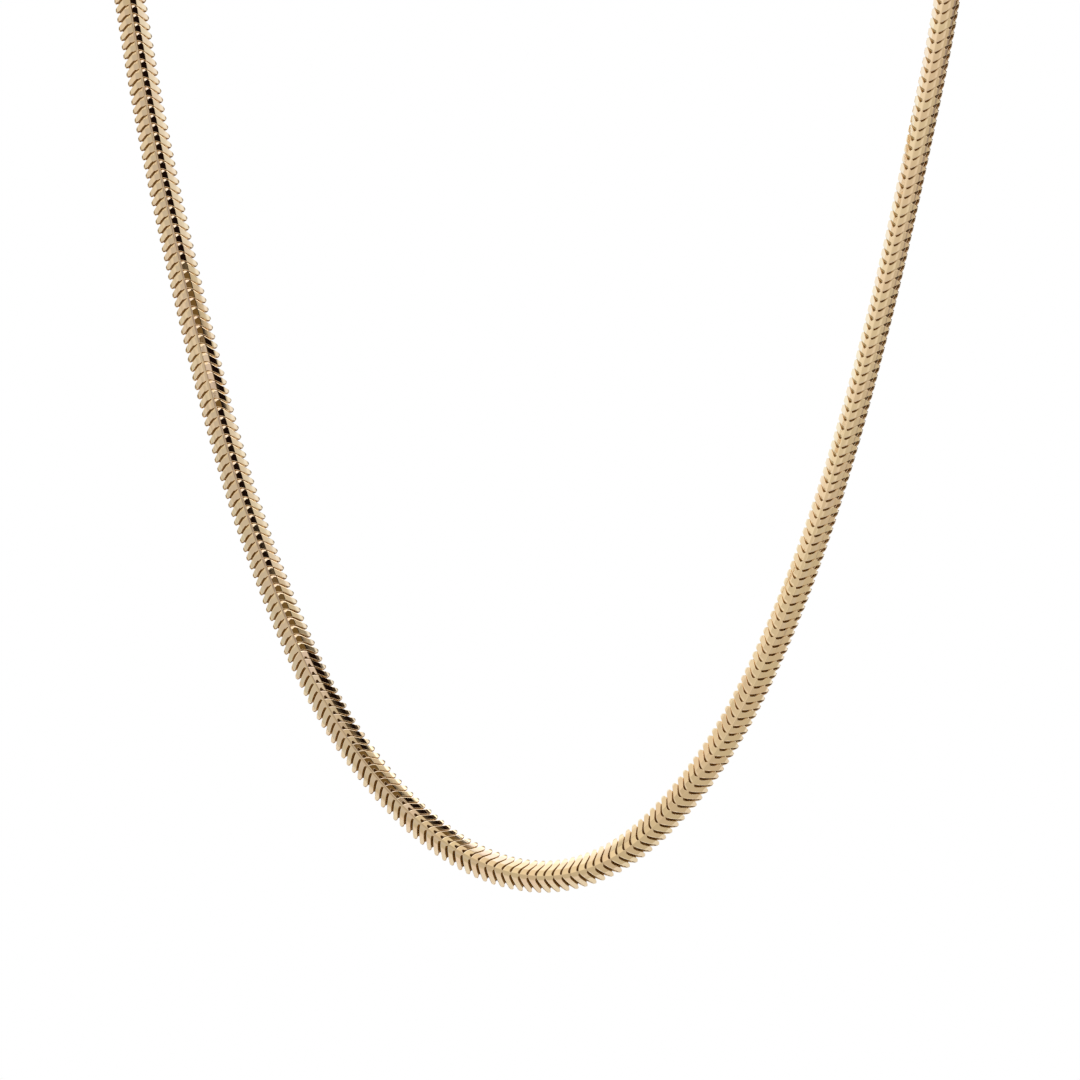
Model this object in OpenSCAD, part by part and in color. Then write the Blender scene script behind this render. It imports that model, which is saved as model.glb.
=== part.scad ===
// Herringbone necklace chain: a band of nested V-shaped links, worn round a neck and closed behind it.
// The origin is on the nape, at the inner side of the clasp. The wearer faces -Y and +Z is up.

/* [Band] */
// Width of the band from tip to tip
band_w = 4.2; // [3.6:0.1:4.4]
// Thickness of the band along its middle ridge
band_t = 2.1; // [1.7:0.1:2.2]
// How far the tips of a link trail behind its point
tip_lag = 1.5; // [1.0:0.1:1.8]
// How deep each link tucks in under the next one
tuck = 0.26; // [0.12:0.02:0.34]
// Length of a link at the bottom of the loop
pitch_low = 1.08; // [1.0:0.02:1.3]
// Length that a link gains for each millimetre away from the bottom
pitch_gain = 0.0021; // [0:0.0001:0.003]

/* [End caps] */
// Length of a cap's body
cap_l = 4.6; // [4:0.1:5]
// Thickness of a cap's sheet
cap_wall = 0.35; // [0.3:0.05:0.5]
// Radius of a cap's loop, to the middle of its wire
loop_r = 1.3; // [1.2:0.05:1.4]
// Radius of the loops' wire
loop_wire = 0.42; // [0.35:0.01:0.45]

/* [Clasp] */
// Radius of the hook, to the middle of its wire
hook_r = 2.3; // [2.2:0.1:2.6]
// Radius of the hook's wire
hook_wire = 0.78; // [0.6:0.02:0.8]
// Radius of the eye, to the middle of its wire
eye_r = 1.25; // [1.2:0.05:1.4]
// Radius of the small ring, to the middle of its wire
link_r = 1.45; // [1.45:0.05:1.6]
// Radius of the catch ring, to the middle of its wire
catch_r = 1.8; // [1.8:0.05:2]
// Radius of both rings' wire
ring_wire = 0.32; // [0.26:0.02:0.34]

/* [Hidden] */
gold = [0.86, 0.70, 0.45];
$fn = 48;

// The way of the band, from the right cap down round the front and up to the left cap: [x, y, z].
// The curve is a cubic spline that these rows pull into shape.
// The first and the last row only set the direction of its ends.
route = [
    [-6.2, 0.9, 0.8],
    [11.2, 2.7, -0.4],
    [28.6, 0.9, 0.8],
    [43.2, -11.7, 3.7],
    [50.9, -26.4, 6.0],
    [54.8, -42.6, 7.8],
    [55.6, -58.6, 6.6],
    [54.7, -70.6, -2.2],
    [52.6, -74.5, -15.2],
    [49.6, -78.2, -28.7],
    [46.1, -82.3, -44.3],
    [42.3, -86.3, -59.1],
    [37.9, -90.4, -74.2],
    [32.9, -94.1, -88.0],
    [27.7, -97.2, -99.6],
    [22.5, -99.6, -108.6],
    [16.1, -101.6, -116.3],
    [9.4, -103.2, -121.8],
    [0.6, -103.8, -124.3],
    [-8.2, -103.2, -122.0],
    [-15.4, -101.8, -117.1],
    [-22.3, -99.9, -109.8],
    [-28.1, -97.6, -101.1],
    [-33.4, -94.5, -89.6],
    [-38.6, -90.8, -75.9],
    [-42.9, -86.8, -60.7],
    [-46.6, -82.7, -45.9],
    [-50.2, -78.7, -30.5],
    [-52.8, -74.5, -16.4],
    [-55.0, -71.0, -3.2],
    [-55.8, -59.5, 5.8],
    [-55.3, -43.5, 7.6],
    [-52.1, -27.6, 6.0],
    [-44.8, -12.3, 3.7],
    [-30.2, 0.9, 0.8],
    [-11.2, 2.7, -0.4],
    [7.8, 0.9, 0.8]
];
low_row = 18;

// Where the front ridge points: [arc length from the bottom, x, y, z]. It is positive to the left.
facing = [
    [-240, 0, 1, 0],
    [-222, 0.25, 0.9, 0.35],
    [-203, 0.4, 0.6, 0.7],
    [-184, 0.25, 0.2, 0.95],
    [-165, -0.1, -0.15, 1],
    [-148, -0.4, -0.55, 0.75],
    [-130, -0.6, -0.76, 0.24],
    [-85, -0.6, -0.77, 0.22],
    [-68, -0.54, -0.81, 0.23],
    [-50, -0.4, -0.88, 0.25],
    [-25, -0.14, -0.95, 0.27],
    [0, 0, -0.97, 0.26],
    [40, 0.12, -0.96, 0.26],
    [130, 0.17, -0.95, 0.24],
    [148, 0.1, -0.75, 0.65],
    [165, 0, -0.3, 0.95],
    [184, -0.25, 0.2, 0.95],
    [203, -0.4, 0.6, 0.7],
    [222, -0.25, 0.9, 0.35],
    [242, 0, 1, 0]
];

// One slice of the band, all the way round, as shares of half its width and half its thickness: [across, out]
slice = [[-1, 0], [-0.55, 0.66], [0, 1], [0.55, 0.66], [1, 0], [0.55, -0.66], [0, -1], [-0.55, -0.66]];
// How sharply the arms of the V sweep back towards the tips
sweep = 1.4;
// Half the length of the step from one link down to the next
step = 0.06;
// The links stop growing this far from the bottom, on the left and on the right
grow_left = 80;
grow_right = 125;

// The caps, rings and clasp lie in one line along x, this far behind the origin
mid_y = 2.1;
cap_mouth = 14.8;
mouth_lip = 0.6;
lip_proud = 0.12;
end_inset = 0.2;
// Clearance between the band and the inside of a cap
cap_gap = 0.2;
corner = 0.7;
// How far the middle of a loop's wire lies inside its cap
loop_sunk = 0.1;
// Clearance between two wires that pull on each other
play = 0.15;
// Distances from the middle of the clasp, each worked out from the one before it, from a cap inwards
cap_back = cap_mouth - cap_l;
loop_x = cap_back - loop_r + loop_sunk;
wire_reach = loop_wire + ring_wire + play;
link_x = loop_x - loop_r + wire_reach - link_r;
eye_x = link_x - link_r + wire_reach - eye_r;
catch_x = loop_x - loop_r + wire_reach - catch_r;
hook_x = catch_x - catch_r + hook_wire + ring_wire + play - hook_r;
boss_r = 1.0;
boss_proud = 0.15;
shank_thin = 0.6;
shank_thick = 0.95;
thumb_l = 1.5;
thumb_r = 0.4;

// Cubic spline through the route's pull, at row u (whole numbers are rows)
function weights(f) =
    let (g = 1 - f) [g * g * g, 4 - 3 * f * f * (1 + g), 4 - 3 * g * g * (1 + f), f * f * f] / 6;
function slopes(f) = let (g = 1 - f) [-g * g, f * (3 * f - 4), g * (4 - 3 * g), f * f] / 2;
function row_of(u) = min(max(floor(u), 1), len(route) - 3);
function pull(u, w) =
    let (i = row_of(u)) w[0] * route[i - 1] + w[1] * route[i] + w[2] * route[i + 1] + w[3] * route[i + 2];
function spot(u) = pull(u, weights(u - row_of(u)));
function heading(u) = unit(pull(u, slopes(u - row_of(u))));
function unit(v) = v / norm(v);

// Arc length against row, measured from the bottom of the loop
fine = 14;
rows = [for (k = [0:(len(route) - 3) * fine]) 1 + k / fine];
spots = [for (u = rows) spot(u)];
last_spot = len(spots) - 1;
function gap_after(k) = norm(spots[min(k + 1, last_spot)] - spots[k]);
runs = [for (k = 0, s = 0; k <= last_spot; s = s + gap_after(k), k = k + 1) s];
low_run = runs[(low_row - 1) * fine];
row_at_arc = [for (k = [0:last_spot]) [runs[k] - low_run, rows[k]]];
arc_left = runs[last_spot] - low_run;
arc_right = low_run;

// A point of the band: s along it, w across towards the inner edge, h out of its face
face_x = [for (f = facing) [f[0], f[1]]];
face_y = [for (f = facing) [f[0], f[2]]];
face_z = [for (f = facing) [f[0], f[3]]];
function face_at(s) = [lookup(s, face_x), lookup(s, face_y), lookup(s, face_z)];
function place(s, w, h) =
    let (u = lookup(s, row_at_arc), t = heading(u), f = face_at(s), n = unit(f - (f * t) * t))
    spot(u) + w * cross(t, n) + h * n;

// Where the point of each link lies, going away from the bottom
function pitch(s, most) = pitch_low + pitch_gain * min(s, most);
function points_to(last, most) = [for (s = 0; s < last; s = s + pitch(s, most)) s];

// One V-shaped ring of the band's surface, its point at arc s, drawn in by a depth
function lag(w) = tip_lag * pow(2 * abs(w) / band_w, sweep);
function ring(s, depth) = [for (c = slice)
    let (w = c[0] * (band_w / 2 - depth), h = c[1] * (band_t / 2 - depth)) place(s - lag(w), w, h)];

// A closed solid through rings of points, from the first to the last
module skin(rings) {
    n = len(slice);
    m = len(rings);
    ends = [[0, 1, 7], [1, 2, 6], [1, 6, 7], [2, 3, 5], [2, 5, 6], [3, 4, 5]];
    sides = [for (i = [0:m - 2], j = [0:n - 1], half = [0, 1])
        let (a = i * n + j, b = i * n + (j + 1) % n)
        half == 0 ? [a, b + n, b] : [a, a + n, b + n]];
    last_ring = (m - 1) * n;
    last = [for (e = ends) [last_ring + e[2], last_ring + e[1], last_ring + e[0]]];
    polyhedron(points = [for (r = rings) each r], faces = concat(sides, ends, last));
}

module chain_left() {
    tips = points_to(arc_left - end_inset, grow_left);
    color(gold)
        skin([for (k = [1:len(tips) - 1]) each [ring(tips[k - 1] + step, tuck), ring(tips[k] - step, 0)]]);
}

module chain_right() {
    tips = points_to(arc_right - end_inset - tip_lag, grow_right);
    count = len(tips) - 1;
    color(gold)
        skin([for (k = [count:-1:1]) each [ring(-tips[k] + step, tuck), ring(-tips[k - 1] - step, 0)]]);
}

// Flat outline of a cap: across z, through y, with round corners
module plate(w, t, r) {
    square([w - 2 * r, t], center = true);
    square([w, t - 2 * r], center = true);
    for (x = [-1, 1], y = [-1, 1]) translate([x * (w / 2 - r), y * (t / 2 - r)]) circle(r);
}

// Closed round ring lying in the x-y plane
module hoop(r, wire) {
    rotate_extrude() translate([r, 0]) circle(wire, $fn = 24);
}

// Cap with its mouth at x = cap_mouth and its loop towards x = 0
module end_cap() {
    in_w = band_w + 2 * cap_gap;
    in_t = band_t + 2 * cap_gap;
    out_w = in_w + 2 * cap_wall;
    out_t = in_t + 2 * cap_wall;
    back = cap_mouth - cap_l;
    color(gold) translate([0, mid_y, 0]) {
        difference() {
            union() {
                translate([back, 0, 0]) rotate([0, 90, 0]) linear_extrude(cap_l) plate(out_w, out_t, corner);
                translate([cap_mouth - mouth_lip, 0, 0]) rotate([0, 90, 0])
                    linear_extrude(mouth_lip) plate(out_w + 2 * lip_proud, out_t + 2 * lip_proud, corner);
            }
            translate([back + cap_wall, 0, 0]) rotate([0, 90, 0])
                linear_extrude(cap_l) plate(in_w, in_t, corner - cap_wall / 2);
        }
        translate([loop_x, 0, 0]) rotate([90, 0, 0]) hoop(loop_r, loop_wire);
    }
}

module end_cap_right() {
    end_cap();
}

module end_cap_left() {
    mirror([1, 0, 0]) end_cap();
}

module clasp_link() {
    color(gold) translate([-link_x, mid_y, 0]) hoop(link_r, ring_wire);
}

// Closed hook with its eye towards the left cap
module clasp() {
    shank_from = -eye_x + eye_r;
    shank_to = hook_x - hook_r;
    color(gold) translate([0, mid_y, 0]) {
        translate([-eye_x, 0, 0]) rotate([90, 0, 0]) hoop(eye_r, loop_wire);
        translate([shank_from, 0, 0]) rotate([0, 90, 0])
            cylinder(h = shank_to - shank_from, r1 = shank_thin, r2 = shank_thick);
        translate([hook_x, 0, 0]) rotate([90, 0, 0]) hoop(hook_r, hook_wire);
        translate([shank_to, 0, 0]) rotate([90, 0, 0])
            cylinder(h = 2 * (hook_wire + boss_proud), r = boss_r, center = true);
        translate([shank_to, 0, 0]) cylinder(h = boss_r + thumb_l, r = thumb_r);
    }
}

module catch_ring() {
    color(gold) translate([catch_x, mid_y, 0]) hoop(catch_r, ring_wire);
}

chain_left();
chain_right();
end_cap_left();
end_cap_right();
clasp_link();
clasp();
catch_ring();
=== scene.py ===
import math

import bpy
import numpy as np
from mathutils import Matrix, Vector


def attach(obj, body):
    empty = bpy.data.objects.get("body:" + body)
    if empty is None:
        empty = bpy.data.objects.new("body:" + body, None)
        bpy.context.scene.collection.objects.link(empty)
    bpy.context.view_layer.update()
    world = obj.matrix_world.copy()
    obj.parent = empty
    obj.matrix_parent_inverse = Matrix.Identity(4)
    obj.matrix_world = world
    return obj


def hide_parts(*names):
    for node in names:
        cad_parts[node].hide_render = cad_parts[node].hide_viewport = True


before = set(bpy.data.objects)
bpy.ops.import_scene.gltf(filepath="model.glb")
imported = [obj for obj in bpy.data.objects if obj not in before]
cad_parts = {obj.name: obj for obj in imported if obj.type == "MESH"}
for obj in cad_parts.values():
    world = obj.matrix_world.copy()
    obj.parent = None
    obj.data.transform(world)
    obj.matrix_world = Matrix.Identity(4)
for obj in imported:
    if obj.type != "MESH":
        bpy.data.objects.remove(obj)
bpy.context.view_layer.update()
mm = 0.001
print("frame loaded:", ", ".join(sorted(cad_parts)))

# The way of the band, in millimetres: the same rows and the same curve as in the part's source
bandPath = {
    "route": [
        (-6.2, 0.9, 0.8), (11.2, 2.7, -0.4), (28.6, 0.9, 0.8), (43.2, -11.7, 3.7), (50.9, -26.4, 6.0),
        (54.8, -42.6, 7.8), (55.6, -58.6, 6.6), (54.7, -70.6, -2.2), (52.6, -74.5, -15.2),
        (49.6, -78.2, -28.7), (46.1, -82.3, -44.3), (42.3, -86.3, -59.1), (37.9, -90.4, -74.2),
        (32.9, -94.1, -88.0), (27.7, -97.2, -99.6), (22.5, -99.6, -108.6), (16.1, -101.6, -116.3),
        (9.4, -103.2, -121.8), (0.6, -103.8, -124.3), (-8.2, -103.2, -122.0), (-15.4, -101.8, -117.1),
        (-22.3, -99.9, -109.8), (-28.1, -97.6, -101.1), (-33.4, -94.5, -89.6), (-38.6, -90.8, -75.9),
        (-42.9, -86.8, -60.7), (-46.6, -82.7, -45.9), (-50.2, -78.7, -30.5), (-52.8, -74.5, -16.4),
        (-55.0, -71.0, -3.2), (-55.8, -59.5, 5.8), (-55.3, -43.5, 7.6), (-52.1, -27.6, 6.0),
        (-44.8, -12.3, 3.7), (-30.2, 0.9, 0.8), (-11.2, 2.7, -0.4), (7.8, 0.9, 0.8)],
    "lowRow": 18,  # the row at the bottom of the loop, where the arc length starts
    "stepsPerRow": 14,
    "facing": [  # where the front ridge points, at an arc length that grows to the left
        (-240, 0, 1, 0), (-222, 0.25, 0.9, 0.35), (-203, 0.4, 0.6, 0.7), (-184, 0.25, 0.2, 0.95),
        (-165, -0.1, -0.15, 1), (-148, -0.4, -0.55, 0.75), (-130, -0.6, -0.76, 0.24),
        (-85, -0.6, -0.77, 0.22), (-68, -0.54, -0.81, 0.23), (-50, -0.4, -0.88, 0.25),
        (-25, -0.14, -0.95, 0.27), (0, 0, -0.97, 0.26), (40, 0.12, -0.96, 0.26), (130, 0.17, -0.95, 0.24),
        (148, 0.1, -0.75, 0.65), (165, 0, -0.3, 0.95), (184, -0.25, 0.2, 0.95), (203, -0.4, 0.6, 0.7),
        (222, -0.25, 0.9, 0.35), (242, 0, 1, 0)],
    "roll": [  # slight twist of the band at an arc length, in degrees, towards its outer edge
        (12, 0), (14, 1), (20.5, 1.5), (22.5, -1), (29.5, -1), (31.5, 6.5), (44, 6.7), (45.5, 2.5),
        (55, 1.5), (57, 0), (78.5, 0), (79.5, 7), (81.5, 8.4), (86.5, 8.2), (90, 3.8), (97, 3), (100, 0),
        (134, 0)],
}


def unit(v):  # a vector, or each of many, made one long
    return v / np.linalg.norm(v, axis=-1, keepdims=True)


def curveAt(row):  # point and heading of the cubic curve at a row, or part of the way to the next
    rows = np.array(bandPath["route"])
    before = np.clip(np.floor(row).astype(int), 1, len(rows) - 3)
    f = (row - before)[:, None]  # share of the way to the next row
    g = 1 - f
    pulls = (g ** 3, 4 - 3 * f * f * (1 + g), 4 - 3 * g * g * (1 + f), f ** 3)
    slopes = (-g * g, f * (3 * f - 4), g * (4 - 3 * g), f * f)
    near = [rows[before + k] for k in (-1, 0, 1, 2)]
    return sum(w * r for w, r in zip(pulls, near)) / 6, unit(sum(w * r for w, r in zip(slopes, near)))


lastRow = len(bandPath["route"]) - 2
rowSteps = np.arange(1, lastRow + 1e-9, 1 / bandPath["stepsPerRow"])  # the tiny extra keeps the last row
arcs = np.concatenate([[0], np.cumsum(np.linalg.norm(np.diff(curveAt(rowSteps)[0], axis=0), axis=1))])
arcs -= arcs[(bandPath["lowRow"] - 1) * bandPath["stepsPerRow"]]


def bandFrames(s):  # point, heading, way across towards the inner edge, and way out, at arc lengths s
    spot, heading = curveAt(np.interp(s, arcs, rowSteps))
    facing = np.array(bandPath["facing"])
    face = np.stack([np.interp(s, facing[:, 0], facing[:, k]) for k in (1, 2, 3)], axis=1)
    out = unit(face - np.sum(face * heading, axis=1)[:, None] * heading)
    across = np.cross(heading, out)
    roll = np.radians(np.interp(s, *np.array(bandPath["roll"]).T))[:, None]
    cosine, sine = np.cos(roll), np.sin(roll)
    return spot, heading, cosine * across + sine * out, cosine * out - sine * across


print("band path: %.1f mm long" % (arcs[-1] - arcs[0]))

# One V-shaped link: a flat strip bent into a V and folded round both edges of the band. In mm and degrees.
# A place across the band is a share of an arm: 0 at the ridge and 1 at the band's edge
linkShape = {
    "width": 4.2,
    "thickness": 2.1,
    "tipLag": 1.5,  # how far the outer tip trails behind the point of the V
    "sweep": 1.4,  # the power that bends the outer arm back
    "pitchLow": 1.08,  # length of a link at the bottom of the loop
    "pitchGain": 0.0021,  # how much longer it is for each millimetre of band from there
    "growLeft": 80,  # arc lengths from which the links grow no longer
    "growRight": 125,
    "endRoom": 0.2,  # least room between the last link and the end of the path
    "ridgeAside": 0.17,  # how far the ridge lies towards the outer edge
    "innerSlopes": [  # how steep the band falls away from its ridges, by place across it
        (0, 4), (0.025, 7), (0.045, 12.4), (0.37, 12.4), (0.39, 20.6), (0.55, 21.4), (0.66, 23.4),
        (0.78, 24.6), (0.86, 36), (0.93, 48), (1, 60)],
    "outerSlopes": [
        (0, -4), (0.08, 0), (0.12, 8), (0.17, 14), (0.5, 19), (0.68, 25), (0.8, 35), (0.9, 46), (1, 60)],
    "slopeSteps": 100,  # steps in which the slopes are added up
    "columns": (  # places with a line of points
        0, 0.03, 0.055, 0.1, 0.16, 0.22, 0.26, 0.355, 0.37, 0.39, 0.41, 0.6, 0.7, 0.78, 0.86, 0.93, 1),
    "foldRadius": 0.24,
    "foldTurns": (0.33, 0.68, 1),  # shares of the way round the fold with a line of points
    "innerLag": [  # how far each place on the inner arms trails behind the point of the V
        (0, 0), (0.2, 0.12), (0.32, 0.27), (0.42, 0.46), (0.51, 0.67), (0.6, 0.88), (0.7, 1.1), (0.8, 1.32),
        (0.9, 1.54), (1, 1.74)],
    "sorts": [  # the sort of link at an arc length; a sort with no table of its own takes that of left
        (-78, "right"), (-44, "rightLow"), (-26, "rightLow"), (-14, "low"), (9, "low"), (13, "bend"),
        (44, "bend"), (47, "leftLow"), (54, "leftLow"), (58, "left")],
    "innerGap": {  # to the next link, by place across the band, for each sort of link
        "right": [
            (0, 0), (0.08, 0.02), (0.14, 0.12), (0.2, 0.3), (0.32, 0.3), (0.45, 0.18), (0.6, 0.12),
            (0.74, 0.16), (0.82, 0.26), (0.9, 0.36), (1, 0.42)],
        "rightLow": [
            (0, 0), (0.08, 0.02), (0.14, 0.16), (0.2, 0.26), (0.4, 0.26), (0.55, 0.2), (0.66, 0.12),
            (0.74, 0.16), (0.82, 0.26), (0.9, 0.36), (1, 0.42)],
        "low": [
            (0, 0), (0.03, 0.03), (0.06, 0.24), (0.2, 0.28), (0.5, 0.28), (0.72, 0.24), (0.8, 0.3),
            (0.9, 0.36), (1, 0.42)],
        "bend": [
            (0, 0), (0.05, 0.03), (0.07, 0.08), (0.11, 0.42), (0.14, 0.46), (0.22, 0.46), (0.26, 0.12),
            (0.34, 0.06), (0.41, 0.24), (0.55, 0.26), (0.72, 0.26), (0.8, 0.3), (0.9, 0.36), (1, 0.42)],
        "leftLow": [
            (0, 0), (0.05, 0.05), (0.3, 0.05), (0.37, 0.14), (0.41, 0.3), (0.6, 0.36), (0.75, 0.36),
            (0.9, 0.38), (1, 0.44)],
        "left": [
            (0, 0), (0.05, 0.05), (0.3, 0.05), (0.37, 0.08), (0.45, 0.22), (0.6, 0.27), (0.75, 0.32),
            (0.9, 0.38), (1, 0.44)]},
    "outerGap": {
        "right": [
            (0, 0), (0.1, 0.02), (0.14, 0.28), (0.28, 0.34), (0.42, 0.27), (0.56, 0.18), (0.7, 0.18),
            (0.8, 0.28), (0.9, 0.38), (1, 0.44)],
        "rightLow": [
            (0, 0), (0.1, 0.02), (0.14, 0.28), (0.28, 0.35), (0.5, 0.34), (0.6, 0.2), (0.7, 0.18),
            (0.8, 0.28), (0.9, 0.38), (1, 0.44)],
        "low": [
            (0, 0), (0.1, 0.02), (0.18, 0.26), (0.35, 0.33), (0.7, 0.33), (0.8, 0.34), (0.9, 0.38),
            (1, 0.44)],
        "bend": [
            (0, 0), (0.1, 0.02), (0.16, 0.3), (0.3, 0.37), (0.6, 0.37), (0.75, 0.35), (0.9, 0.38),
            (1, 0.44)],
        "left": [
            (0, 0), (0.12, 0.02), (0.2, 0.1), (0.31, 0.12), (0.39, 0.31), (0.46, 0.36), (0.64, 0.36),
            (0.78, 0.34), (0.9, 0.38), (1, 0.44)]},
    "tipGap": 0.38,  # between the round tips of two links
    "tipLean": (0.75, 0.2),  # the place where the lean of a tip is measured from, and over how much
    "leastTip": 0.1,  # least breadth of the strip where it ends
    "innerSlot": {  # how deep the slot between two links is
        "right": [(0, 0.08), (0.12, 0.14), (0.2, 0.22), (0.34, 0.22), (0.5, 0.1), (1, 0.1)],
        "rightLow": [(0, 0.08), (0.12, 0.14), (0.2, 0.2), (0.42, 0.18), (0.58, 0.12), (1, 0.1)],
        "low": [(0, 0.1), (0.08, 0.2), (0.42, 0.2), (0.55, 0.16), (1, 0.12)],
        "bend": [(0, 0.1), (0.08, 0.34), (0.23, 0.34), (0.28, 0.2), (0.42, 0.2), (0.55, 0.18), (1, 0.12)],
        "leftLow": [(0, 0.1), (0.08, 0.24), (0.6, 0.24), (0.75, 0.2), (1, 0.12)],
        "left": [(0, 0.1), (0.08, 0.24), (0.3, 0.24), (0.45, 0.16), (1, 0.12)]},
    "outerSlot": {
        "right": [
            (0, 0.08), (0.12, 0.16), (0.3, 0.16), (0.42, 0.1), (0.56, 0.05), (0.72, 0.05), (0.82, 0.12),
            (1, 0.12)],
        "rightLow": [
            (0, 0.08), (0.12, 0.18), (0.48, 0.18), (0.58, 0.08), (0.72, 0.06), (0.82, 0.12), (1, 0.12)],
        "low": [(0, 0.08), (0.15, 0.16), (0.28, 0.2), (0.7, 0.18), (0.82, 0.15), (1, 0.12)],
        "bend": [(0, 0.08), (0.15, 0.2), (0.28, 0.24), (0.66, 0.22), (0.82, 0.15), (1, 0.12)],
        "left": [(0, 0.08), (0.15, 0.24), (0.3, 0.24), (0.4, 0.2), (0.7, 0.2), (0.82, 0.15), (1, 0.12)]},
    "innerPaintedShade": {  # how much the slot between two links is darkened with painted shade
        "right": [(0, 1), (0.34, 1), (0.46, 0.5), (0.6, 0.4), (0.74, 0), (1, 0)],
        "rightLow": [(0, 1), (0.34, 1), (0.5, 0.6), (0.66, 0.3), (0.74, 0), (1, 0)],
        "low": [(0, 1), (0.6, 1), (0.76, 0.1), (1, 0)],
        "bend": [(0, 1), (0.6, 1), (0.76, 0.1), (1, 0)],
        "leftLow": [(0, 1), (0.72, 1), (0.84, 0.1), (1, 0)],
        "left": [(0, 1), (0.55, 0.9), (0.7, 0.1), (1, 0)]},
    # the same painted shade on the outer arms; on the right strand it also darkens the outer tips
    "outerPaintedShade": {
        "right": [(0, 1), (0.36, 0.9), (0.5, 0.6), (0.6, 0.3), (0.75, 0.2), (0.84, 0.9), (1, 1)],
        "rightLow": [(0, 1), (0.48, 1), (0.58, 0.5), (0.75, 0.2), (0.84, 0.6), (1, 0.6)],
        "left": [(0, 1), (0.66, 1), (0.8, 0.1), (1, 0)]},
    "bevel": [  # on the leading edge: how far in, and how deep as a share of the slot
        (0.02, 0.34), (0.06, 0.3), (0.25, 0.03), (0.28, 0), (0.31, 0)],
    "bevelBreadth": 0.5,  # least breadth of a strip with edges of full size
    "innerBevel": {  # how large the bevel is
        "right": [(0, 0), (0.05, 0.3), (0.1, 1.2), (0.3, 1.2), (0.42, 0.8), (0.55, 0.3), (1, 0.2)],
        "rightLow": [(0, 0), (0.05, 0.3), (0.1, 1), (0.3, 1), (0.45, 0.5), (0.6, 0.3), (1, 0.2)],
        "low": [(0, 0), (0.06, 0.2), (0.12, 0.35), (0.4, 0.3), (1, 0.2)],
        "bend": [(0, 0), (0.06, 0.2), (0.12, 0.35), (0.4, 0.3), (1, 0.2)],
        "left": [
            (0, 0), (0.03, 1), (0.05, 1.95), (0.11, 1.75), (0.2, 0.95), (0.3, 0.65), (0.37, 0.6),
            (0.43, 0.35), (1, 0.2)]},
    "outerBevel": {
        "right": [(0, 0), (0.1, 0.1), (0.18, 0.8), (0.28, 0.8), (0.4, 0.3), (1, 0.2)],
        "rightLow": [(0, 0), (0.1, 0.1), (0.18, 0.6), (0.28, 0.6), (0.4, 0.3), (1, 0.2)],
        "low": [(0, 0), (0.1, 0.1), (0.2, 0.4), (1, 0.25)],
        "bend": [(0, 0), (0.1, 0.1), (0.2, 0.4), (1, 0.25)],
        "left": [(0, 0), (0.11, 0.2), (0.16, 1.3), (0.3, 1.3), (0.4, 0.5), (1, 0.3)]},
    "trailRound": [  # on the trailing edge: how far in, and how deep
        (0.055, 0), (0.035, 0), (0.012, 0.015), (0, 0.05)],
    "ridgeClear": (0.01, 0.1),  # that edge grows from nothing between these places and spares the ridge
    "wall": 0.36,  # how deep the wall under the leading edge is
    "wallBack": (0.02, 0.1),  # how far behind the leading edge the two lines of its foot lie
    "shelf": 0.45,  # how far the strip runs on below the next link
    "shelfFall": 0.04,  # how much deeper its far end is
    "shelfThickness": 0.12,
    "shelfFade": (0.62, 0.74),  # places between which the shelf ends
    "thin": 0.85,  # share of all these depths that is lost at the tips
    "thinFrom": (0.66, 0.9),  # places between which it is lost
    "hub": 0.9,  # how far behind the point of the V the place lies that a link turns about
    "turn": (0.5, 0.5, 0.4),  # most that it turns at random, about the band, about the V and in the plane
    "seed": 11,
}


def smooth(x, low, high):  # 0 below low, 1 above high, and eased between them
    t = np.clip((x - low) / (high - low), 0, 1)
    return t * t * (3 - 2 * t)


def fromTable(name, x):
    return np.interp(x, *np.array(linkShape[name]).T)


def armLine(slopes):  # an arm's outline from the ridge to its edge: across, out, and the way it faces
    half, fold = linkShape["width"] / 2, linkShape["foldRadius"]
    last = math.radians(linkShape[slopes][-1][1])
    reach = half - fold + fold * math.sin(last)
    steps = linkShape["slopeSteps"]
    share = np.linspace(0, 1, steps + 1)
    fall = np.tan(np.radians(fromTable(slopes, share)))
    drop = np.concatenate([[0], np.cumsum((fall[1:] + fall[:-1]) / 2)]) / steps * reach
    flatter = (linkShape["thickness"] / 2 - fold * math.cos(last)) / drop[-1]
    line = []
    for column in linkShape["columns"]:
        slope = math.atan(flatter * np.interp(column, share, fall))
        high = linkShape["thickness"] / 2 - flatter * np.interp(column, share, drop)
        line.append((column * reach, high, math.sin(slope), math.cos(slope)))
    for turn in linkShape["foldTurns"]:
        angle = last + (math.pi / 2 - last) * turn
        sine, cosine = math.sin(angle), math.cos(angle)
        line.append((half - fold + fold * sine, fold * cosine, sine, cosine))
    return np.array(line)


def linkLoop():  # the closed line that the strip follows round the band
    inner, outer = armLine("innerSlopes"), armLine("outerSlopes")
    inner[0, 2:] = unit(inner[0, 2:] + outer[0, 2:] * (-1, 1))  # the ridge faces between both arms
    behind, mirrored = np.array((1, -1, 1, -1)), np.array((-1, 1, -1, 1))
    outer = outer * mirrored
    return np.concatenate([inner, (inner * behind)[-2::-1], (outer * behind)[1:], outer[-2:0:-1]])


def ofSort(name, tip, share):  # a value by place across the band, for the sort of link at an arc length
    stations, sorts = zip(*linkShape["sorts"])
    tables = linkShape[name]
    values = [np.interp(share, *np.array(tables.get(sort, tables["left"])).T) for sort in sorts]
    rank = np.interp(tip, stations, range(len(stations)))
    first = min(int(rank), len(stations) - 2)
    return values[first] + (rank - first) * (values[first + 1] - values[first])


def ofSide(inner, outer, tip, across):  # the same, from the table of its side
    share = np.abs(across) / (linkShape["width"] / 2)
    return np.where(across > 0, ofSort(inner, tip, share), ofSort(outer, tip, share))


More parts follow.
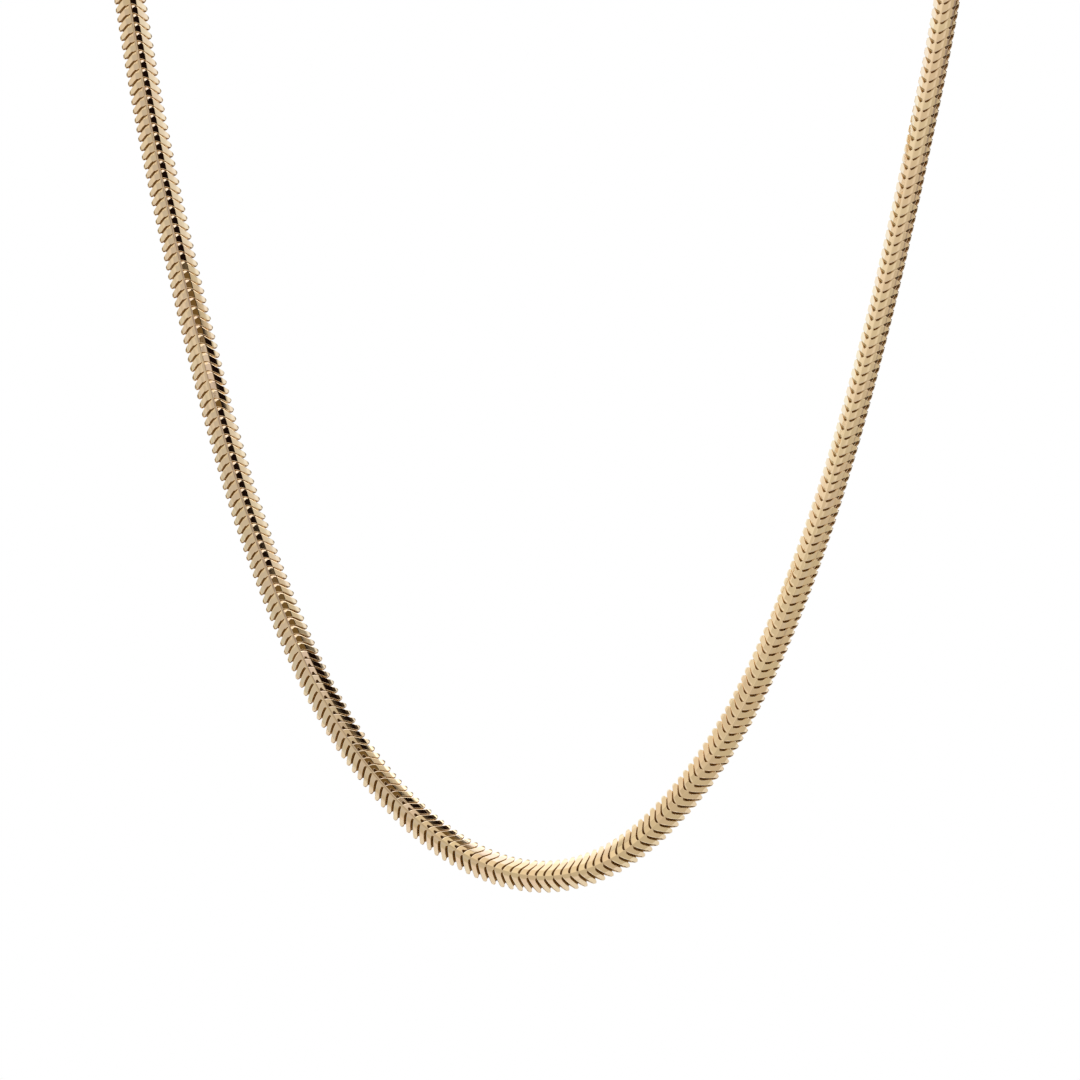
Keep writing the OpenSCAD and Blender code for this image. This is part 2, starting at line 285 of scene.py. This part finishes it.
def lagAt(across):  # how far behind the point of the V a link's leading edge lies
    share = np.abs(across) / (linkShape["width"] / 2)
    outer = linkShape["tipLag"] * share ** linkShape["sweep"]
    return np.where(across > 0, fromTable("innerLag", share), outer)


def linkEdges(tip, pitch, across):  # how far behind the point of the V the two edges of the strip lie
    half = linkShape["width"] / 2
    reach, side = np.abs(across), np.where(across > 0, 1, -1)
    lead = lagAt(across)
    trail = lead + pitch - ofSide("innerGap", "outerGap", tip, across)
    breadth = pitch - linkShape["tipGap"]  # of the strip at its tip
    near, over = linkShape["tipLean"]
    lean = np.arctan((lagAt((near + over) * half * side) - lagAt(near * half * side)) / (over * half))
    radius = breadth / 2 * np.cos(lean)
    centre = half - radius  # the arm ends in a half circle square to it
    middle = lagAt(centre * side) + breadth / 2
    bow = np.sqrt(np.clip(radius ** 2 - (reach - centre) ** 2, (linkShape["leastTip"] / 2) ** 2, None))
    aside = radius * np.sin(lean)
    trail = np.where(reach > centre - aside, np.minimum(trail, middle + bow), trail)
    lead = np.where(reach > centre + aside, np.maximum(lead, middle - bow), lead)
    return lead, trail


def linkPoints(tip, pitch):  # rings of points of one link: along, across, out, and how much painted shade
    loop = linkLoop()
    share = np.abs(loop[:, 0]) / (linkShape["width"] / 2)
    lead, trail = linkEdges(tip, pitch, loop[:, 0])
    edge = np.minimum(1, (trail - lead) / linkShape["bevelBreadth"])  # a narrow strip has smaller edges
    bevel = edge * ofSide("innerBevel", "outerBevel", tip, loop[:, 0])
    slot = ofSide("innerSlot", "outerSlot", tip, loop[:, 0])
    # painted shade for the slots, walls and shelves between links; the bevel and trailing rows get none
    dark = ofSide("innerPaintedShade", "outerPaintedShade", tip, loop[:, 0])
    bright = 0 * dark
    shelf = linkShape["shelf"] * (1 - smooth(share, *linkShape["shelfFade"]))
    wall = np.full(len(loop), linkShape["wall"])
    nearBack, farBack = linkShape["wallBack"]
    cut = smooth(share, *linkShape["ridgeClear"])
    # each row, in order round the strip: how far behind the point of the V, how deep, and how much painted
    # shade
    rows = [(lead + nearBack * edge, wall, dark), (lead, slot, dark)]
    rows += [(lead + back * bevel, deep * slot * bevel, bright) for back, deep in linkShape["bevel"]]
    rows += [(trail - back * edge, deep * cut, bright) for back, deep in linkShape["trailRound"]]
    rows += [
        (trail, slot - linkShape["shelfFall"], dark), (trail + shelf, slot, dark),
        (trail + shelf, slot + linkShape["shelfThickness"], dark), (lead + farBack * edge, wall, dark)]
    aside = loop[:, 0] - linkShape["ridgeAside"] * (1 - share ** 2)
    thin = 1 - linkShape["thin"] * smooth(share, *linkShape["thinFrom"])
    points = []
    for behind, deep, paintedSlotShade in rows:
        sunk = deep * thin
        place = (-behind, aside - sunk * loop[:, 2], loop[:, 1] - sunk * loop[:, 3], paintedSlotShade)
        points.append(np.stack(place, axis=1))
    return np.stack(points, axis=1)


def pointsTo(last, most):  # arc lengths from the bottom of the loop up to the last, a link apart
    points = [0]
    while points[-1] < last:
        points.append(points[-1] + linkShape["pitchLow"] + linkShape["pitchGain"] * min(points[-1], most))
    return np.array(points[:-1])


def linkPlaces():  # the arc length of each link's point and its pitch, for the right half and for the left
    right = pointsTo(-arcs[0] - linkShape["endRoom"] - linkShape["tipLag"], linkShape["growRight"])
    left = pointsTo(arcs[-1] - linkShape["endRoom"], linkShape["growLeft"])
    rightPlaces = np.stack([-right[:-1], np.diff(right)], axis=1)
    return rightPlaces[::-1], np.stack([left[1:], np.diff(left)], axis=1)


def turned(frames, angles):  # the three axes of a link, turned a little about each of them
    for axis in range(3):
        cosine, sine = np.cos(angles[:, axis])[:, None], np.sin(angles[:, axis])[:, None]
        one, two = (axis + 1) % 3, (axis + 2) % 3
        first, second = frames[one], frames[two]
        frames[one], frames[two] = cosine * first + sine * second, cosine * second - sine * first
    return frames


def makeBand(name, places, seed):  # one piece of many links, each with its own small turn and its own tone
    dice = np.random.default_rng(seed)
    hub = linkShape["hub"]
    spot, *axes = bandFrames(places[:, 0] - hub)
    angles = np.radians(dice.normal(0, 0.5, (len(places), 3)).clip(-1, 1) * np.array(linkShape["turn"]))
    axes = turned(axes, angles)
    # these arrays run over the links, then along the line round the band, then round the strip
    shape = np.stack([linkPoints(tip, pitch) for tip, pitch in places])
    # the painted shade of the slots, passed on to the gold as a point attribute
    paintedSlotShade = shape[..., 3]
    points = spot[:, None, None, :] + (shape[..., 0, None] + hub) * axes[0][:, None, None, :]
    points = points + sum(shape[..., k, None] * axes[k][:, None, None, :] for k in (1, 2))
    count, around, across = paintedSlotShade.shape
    ids = np.arange(count * around * across).reshape(count, around, across)
    nextAround, nextAcross = np.roll(ids, -1, axis=1), np.roll(ids, -1, axis=2)
    opposite = np.roll(nextAround, -1, axis=2)
    quads = np.stack([ids, nextAcross, opposite, nextAround], axis=-1).reshape(-1, 4)
    mesh = bpy.data.meshes.new(name)
    mesh.from_pydata((points.reshape(-1, 3) * mm).tolist(), [], quads.tolist())
    mesh.polygons.foreach_set("use_smooth", np.ones(len(quads), bool))
    tones = np.repeat(dice.uniform(0, 1, count), around * across)
    # a random tone for each link, and the painted slot shade
    for label, values in (("linkTone", tones), ("paintedSlotShade", paintedSlotShade)):
        attribute = mesh.attributes.new(label, "FLOAT", "POINT")
        attribute.data.foreach_set("value", values.ravel().astype(np.float32))
    mesh.validate()
    piece = bpy.data.objects.new(name, mesh)
    bpy.context.scene.collection.objects.link(piece)
    print("%s: %d links, %d triangles" % (name, count, 2 * len(quads)))
    return piece


bandPieces = []
for side, node, places in zip(("bandRight", "bandLeft"), ("chain_right", "chain_left"), linkPlaces()):
    for third, chosen in zip(("First", "Second", "Third"), np.array_split(places, 3)):
        piece = makeBand(side + third, chosen, linkShape["seed"] + len(bandPieces))
        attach(piece, "root")
        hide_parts(node)
        bandPieces.append(piece)


def put(tree, kind, settings, sockets):  # a node; a socket value that is a socket itself is linked
    node = tree.nodes.new("ShaderNode" + kind)
    for key, value in settings.items():
        setattr(node, key, value)
    for key, value in sockets.items():
        if isinstance(value, bpy.types.NodeSocket):
            tree.links.new(value, node.inputs[key])
        else:
            node.inputs[key].default_value = value
    return node


def calculate(tree, operation, *values):  # what a Math node puts out
    return put(tree, "Math", {"operation": operation}, dict(enumerate(values))).outputs[0]


def spread(tree, value, fromLow, fromHigh, toLow, toHigh):  # a value eased from one range into another
    sockets = {"Value": value, "From Min": fromLow, "From Max": fromHigh, "To Min": toLow, "To Max": toHigh}
    return put(tree, "MapRange", {"interpolation_type": "SMOOTHSTEP"}, sockets).outputs["Result"]


def mixColours(tree, share, first, second):  # 6, 7 and 2 are the mix node's sockets for colours
    return put(tree, "Mix", {"data_type": "RGBA"}, {0: share, 6: first, 7: second}).outputs[2]


def newGroup(name, inputs, output):  # a node group with number inputs and one output
    tree = bpy.data.node_groups.new(name, "ShaderNodeTree")
    for label, value in inputs.items():
        socket = tree.interface.new_socket(label, in_out="INPUT", socket_type="NodeSocketFloat")
        socket.default_value = value
    tree.interface.new_socket(output, in_out="OUTPUT", socket_type="NodeSocketFloat")
    return tree, tree.nodes.new("NodeGroupInput").outputs, tree.nodes.new("NodeGroupOutput").inputs[0]


def useGroup(tree, group, sockets):  # what a node group puts out
    return put(tree, "Group", {"node_tree": group}, sockets).outputs[0]


# Effects that both golds use
effects = {
    "cloudDetail": 4,
    "cloudRoughness": 0.6,
    "cloudRange": (0.35, 0.68),  # the noise that becomes Low, and the noise that becomes High
    "hairlineWays": [  # a turn in radians and a stretch for each way that the hairlines run
        ((0.3, 0.5, 0.4), (1, 14, 6)), ((0.9, 0.2, 1.3), (9, 1, 12))],
    "hairlineDetail": 2,
    "hairlineMiddle": 0.5,  # a hairline runs where the noise is this
    "hairlineWidth": 0.03,  # and fades out where the noise differs from it by this
    "edgeSamples": 4,
}


def smudgeGroup():  # soft cloudy patches, as on metal that was handled
    tree, given, result = newGroup("smudges", {"Scale": 400, "Low": 0, "High": 1}, "Value")
    place = put(tree, "TexCoord", {}, {}).outputs["Object"]
    sockets = {
        "Vector": place, "Scale": given["Scale"], "Detail": effects["cloudDetail"],
        "Roughness": effects["cloudRoughness"]}
    cloud = put(tree, "TexNoise", {}, sockets).outputs["Fac"]
    tree.links.new(spread(tree, cloud, *effects["cloudRange"], given["Low"], given["High"]), result)
    return tree


def hairlineGroup():  # fine hairlines that run two ways
    tree, given, result = newGroup("hairlines", {"Scale": 900, "Amount": 1}, "Height")
    place = put(tree, "TexCoord", {}, {}).outputs["Object"]
    lines = []
    for turn, stretch in effects["hairlineWays"]:
        way = put(tree, "Mapping", {}, {"Vector": place, "Rotation": turn, "Scale": stretch}).outputs[0]
        sockets = {"Vector": way, "Scale": given["Scale"], "Detail": effects["hairlineDetail"]}
        noise = put(tree, "TexNoise", {}, sockets).outputs["Fac"]
        away = calculate(tree, "SUBTRACT", noise, effects["hairlineMiddle"])
        away = calculate(tree, "ABSOLUTE", away)
        lines.append(spread(tree, away, 0.0, effects["hairlineWidth"], 1.0, 0.0))
    most = calculate(tree, "MAXIMUM", *lines)
    tree.links.new(calculate(tree, "MULTIPLY", most, given["Amount"]), result)
    return tree


def edgeGroup():  # where edges are rubbed bright
    tree, given, result = newGroup("rubbedEdges", {"Radius": 0.0001, "Sharpness": 1}, "Mask")
    settings = {"samples": effects["edgeSamples"]}
    rounded = put(tree, "Bevel", settings, {"Radius": given["Radius"]}).outputs[0]
    plain = put(tree, "NewGeometry", {}, {}).outputs["Normal"]
    same = put(tree, "VectorMath", {"operation": "DOT_PRODUCT"}, {0: rounded, 1: plain}).outputs["Value"]
    turnedAway = calculate(tree, "SUBTRACT", 1.0, same)
    settings = {"operation": "MULTIPLY", "use_clamp": True}
    mask = put(tree, "Math", settings, {0: turnedAway, 1: given["Sharpness"]}).outputs[0]
    tree.links.new(mask, result)
    return tree


smudges, hairlines, rubbedEdges = smudgeGroup(), hairlineGroup(), edgeGroup()

# Colours are linear, lengths are in metres, and the noise scales are per metre. Patches of other tone are
# patchSize times as large as the smudges
goldLooks = {
    "bandGold": {
        "pale": (0.93, 0.695, 0.38, 1), "warm": (0.93, 0.665, 0.375, 1),
        "rubbed": (0.95, 0.73, 0.44, 1), "edgeRadius": 0.00007, "edgeSharpness": 5,
        # the slot colour and roughness below are painted shade, much darker than the gold
        "paintedShadeColour": (0.4, 0.225, 0.06, 1), "shadedSlotRoughness": 0.45, "roughness": (0.02, 0.055),
        "smudgeScale": 650, "patchSize": 3, "patchTone": 0.25, "lineScale": 1500, "lineDepth": 0.00000015},
    "fittingGold": {
        "pale": (0.93, 0.665, 0.33, 1), "warm": (0.91, 0.6, 0.28, 1),
        "rubbed": (0.96, 0.77, 0.47, 1), "edgeRadius": 0.0002, "edgeSharpness": 3,
        # the slot colour and roughness below are painted shade, much darker than the gold
        "paintedShadeColour": (0.4, 0.225, 0.06, 1), "shadedSlotRoughness": 0.5, "roughness": (0.05, 0.2),
        "smudgeScale": 320, "patchSize": 3, "patchTone": 0.25, "lineScale": 900, "lineDepth": 0.0000015},
}


def makeGold(name):  # each link has its own tone between pale and warm, and the slots are darkened with painted shade
    look = goldLooks[name]
    material = bpy.data.materials.new(name)
    material.use_nodes = True
    tree = material.node_tree
    shader = tree.nodes["Principled BSDF"]
    tone = put(tree, "Attribute", {"attribute_name": "linkTone"}, {}).outputs["Fac"]
    # the painted shade of the slots between links
    paintedSlotShade = put(tree, "Attribute", {"attribute_name": "paintedSlotShade"}, {}).outputs["Fac"]
    patchScale, patchTone = look["smudgeScale"] / look["patchSize"], look["patchTone"]
    patches = useGroup(tree, smudges, {"Scale": patchScale, "Low": -patchTone, "High": patchTone})
    rubbed = useGroup(tree, rubbedEdges, {"Radius": look["edgeRadius"], "Sharpness": look["edgeSharpness"]})
    colour = mixColours(tree, calculate(tree, "ADD", tone, patches), look["pale"], look["warm"])
    colour = mixColours(tree, rubbed, colour, look["rubbed"])
    # the slots are darkened towards a painted shade colour
    colour = mixColours(tree, paintedSlotShade, colour, look["paintedShadeColour"])
    low, high = look["roughness"]
    rough = useGroup(tree, smudges, {"Scale": look["smudgeScale"], "Low": low, "High": high})
    rough = spread(tree, paintedSlotShade, 0.0, 1.0, rough, look["shadedSlotRoughness"])
    lines = useGroup(tree, hairlines, {"Scale": look["lineScale"], "Amount": 1})
    sockets = {"Height": lines, "Distance": look["lineDepth"], "Strength": 1}
    bump = put(tree, "Bump", {"invert": True}, sockets)
    tree.links.new(colour, shader.inputs["Base Color"])
    tree.links.new(rough, shader.inputs["Roughness"])
    tree.links.new(bump.outputs[0], shader.inputs["Normal"])
    shader.inputs["Metallic"].default_value = 1
    return material


bandGold, fittingGold = makeGold("bandGold"), makeGold("fittingGold")
for piece in bandPieces:
    piece.data.materials.append(bandGold)
for name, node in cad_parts.items():
    for materialSlot in node.material_slots:
        materialSlot.material = bandGold if name.startswith("chain") else fittingGold
print("materials made:", ", ".join(goldLooks))

# The camera at the photograph's angle. Its places are in millimetres, and clipEnd is in metres
view = {"spot": (0, -1188.8, 5.1), "target": (0, -92.22, -81.16), "lens": 284.2, "clipEnd": 100}
cameraData = bpy.data.cameras.new("photoCamera")
cameraData.lens = view["lens"]
cameraData.clip_end = view["clipEnd"]
camera = bpy.data.objects.new("photoCamera", cameraData)
camera.location = Vector(view["spot"]) * mm
sight = Vector(view["target"]) - Vector(view["spot"])
camera.rotation_euler = sight.to_track_quat("-Z", "Y").to_euler()
bpy.context.scene.collection.objects.link(camera)
bpy.context.scene.camera = camera
print("camera placed")

# The studio: a pale floor, and soft boxes and cards far away. Azimuth 0 is in front, positive to the right
studio = {
    "fill": (0.6, 0.6, 0.6, 1),  # light from where no box is
    "backdrop": (1, 1, 1, 1),  # what the camera itself sees round the chain
    "boxes": [  # azimuth, elevation, half width, half height, soft edge, in degrees, and colour
        ("leftSoft", (-22, 16, 16, 14, 3), (0.61, 0.64, 0.75, 1)),
        ("lowFront", (-22, -14, 32, 8, 3), (0.82, 0.83, 0.98, 1)),
        ("leftFront", (-66, 0, 28, 14, 6), (0.62, 0.70, 0.85, 1)),
        ("leftSide", (-66, 13, 24, 7, 3), (0.76, 0.80, 0.93, 1)),
        ("leftFar", (-55, 28, 28, 11, 2), (0.80, 0.83, 0.93, 1)),
        ("left", (-112, 15, 31, 60, 8), (0.91, 0.95, 1.06, 1)),
        ("leftUpper", (-58, 36, 24, 5.5, 2), (0.69, 0.70, 0.73, 1)),
        ("leftAbove", (-66, 53, 26, 11, 3), (0.86, 0.86, 0.90, 1)),
        ("leftMid", (-136, 15, 22, 60, 5), (1.0, 1.18, 1.58, 1)),
        ("leftBack", (-160, 15, 22, 60, 10), (1.1, 1.4, 2.0, 1)),
        ("right", (98, 15, 36, 60, 12), (0.96, 1.1, 1.45, 1)),
        ("leftLow", (-112, -12, 22, 20, 4), (0.36, 0.33, 0.26, 1)),
        ("rightBack", (142, 0, 28, 40, 6), (0.34, 0.34, 0.34, 1)),
        ("upper", (0, 58, 28, 14, 8), (0.98, 0.98, 0.98, 1)),
        ("high", (0, 90, 180, 30, 4), (1.2, 1.3, 1.55, 1)),
        ("top", (0, 90, 180, 18, 4), (1.4, 1.55, 1.9, 1)),
        ("rightHigh", (92, 60, 27, 17, 4), (1.9, 2.0, 2.3, 1)),
        ("highRight", (42, 74, 22, 16, 4), (1.22, 1.36, 1.9, 1)),
        ("greyCard", (17, 28.5, 12, 4.7, 1.2), (0.37, 0.36, 0.45, 1)),
        ("facetCard", (24.5, 36, 3.5, 6.5, 1), (0.74, 0.76, 0.95, 1)),
        ("brownCard", (31.5, 40, 6, 18, 1.2), (0.17, 0.12, 0.055, 1)),
        ("darkCard", (44.4, 40, 7, 18, 1.6), (0.008, 0.004, 0.004, 1)),
        ("tipCardLow", (70, 41, 20, 3.3, 1.2), (0.05, 0.036, 0.026, 1)),
        ("tipCardHigh", (70, 57.2, 20, 4.2, 1.2), (0.05, 0.036, 0.026, 1)),
    ],
    "floorHeight": -0.45,  # in metres
    "floorHalf": 1.1,
    "floorColour": (0.9, 0.89, 0.88, 1),
}
boxLabels = ("Centre Azimuth", "Centre Elevation", "Half Width", "Half Height", "Edge")


def softBoxGroup():  # 1 inside a soft-edged box of the sky and 0 outside it
    labels = ("Azimuth", "Elevation") + boxLabels
    tree, given, result = newGroup("softBox", dict.fromkeys(labels, 0.0), "Mask")
    turn = calculate(tree, "SUBTRACT", given["Azimuth"], given["Centre Azimuth"])
    turn = calculate(tree, "ABSOLUTE", calculate(tree, "WRAP", turn, 180.0, -180.0))
    climb = calculate(tree, "SUBTRACT", given["Elevation"], given["Centre Elevation"])
    climb = calculate(tree, "ABSOLUTE", climb)
    masks = []
    for away, half in ((turn, given["Half Width"]), (climb, given["Half Height"])):
        low = calculate(tree, "SUBTRACT", half, given["Edge"])
        high = calculate(tree, "ADD", half, given["Edge"])
        masks.append(spread(tree, away, low, high, 1.0, 0.0))
    tree.links.new(calculate(tree, "MULTIPLY", *masks), result)
    return tree


def makeStudio():  # the boxes light the chain and are mirrored in it, and a later box covers an earlier one
    world = bpy.data.worlds.new("studio")
    world.use_nodes = True
    tree = world.node_tree
    tree.nodes.clear()
    way = put(tree, "SeparateXYZ", {}, {0: put(tree, "TexCoord", {}, {}).outputs["Generated"]}).outputs
    turn = calculate(tree, "ARCTAN2", way["X"], calculate(tree, "MULTIPLY", way["Y"], -1.0))
    azimuth = calculate(tree, "DEGREES", turn)
    elevation = calculate(tree, "DEGREES", calculate(tree, "ARCSINE", way["Z"]))
    group = softBoxGroup()
    colour = studio["fill"]
    for name, place, boxColour in studio["boxes"]:
        sockets = dict(zip(boxLabels, map(float, place)), Azimuth=azimuth, Elevation=elevation)
        mask = put(tree, "Group", {"node_tree": group, "label": name}, sockets).outputs[0]
        colour = mixColours(tree, mask, colour, boxColour)
    light = put(tree, "Background", {}, {"Color": colour}).outputs[0]
    backdrop = put(tree, "Background", {}, {"Color": studio["backdrop"]}).outputs[0]
    seen = put(tree, "LightPath", {}, {}).outputs["Is Camera Ray"]
    both = put(tree, "MixShader", {}, {0: seen, 1: light, 2: backdrop}).outputs[0]
    put(tree, "OutputWorld", {}, {"Surface": both})
    return world


def makeFloor():  # it lights the chain from below, and the camera sees it as the backdrop
    half, height = studio["floorHalf"], studio["floorHeight"]
    mesh = bpy.data.meshes.new("floor")
    corners = [(x * half, y * half, height) for x, y in ((-1, -1), (1, -1), (1, 1), (-1, 1))]
    mesh.from_pydata(corners, [], [(0, 1, 2, 3)])
    floor = bpy.data.objects.new("floor", mesh)
    bpy.context.scene.collection.objects.link(floor)
    material = bpy.data.materials.new("paleFloor")
    material.use_nodes = True
    tree = material.node_tree
    tree.nodes.clear()
    matt = put(tree, "BsdfDiffuse", {}, {"Color": studio["floorColour"]}).outputs[0]
    backdrop = put(tree, "Emission", {}, {"Color": studio["backdrop"]}).outputs[0]
    seen = put(tree, "LightPath", {}, {}).outputs["Is Camera Ray"]
    both = put(tree, "MixShader", {}, {0: seen, 1: matt, 2: backdrop}).outputs[0]
    put(tree, "OutputMaterial", {}, {"Surface": both})
    mesh.materials.append(material)


makeFloor()
bpy.context.scene.world = makeStudio()
bpy.context.scene.view_settings.view_transform = "Standard"
print("studio made")
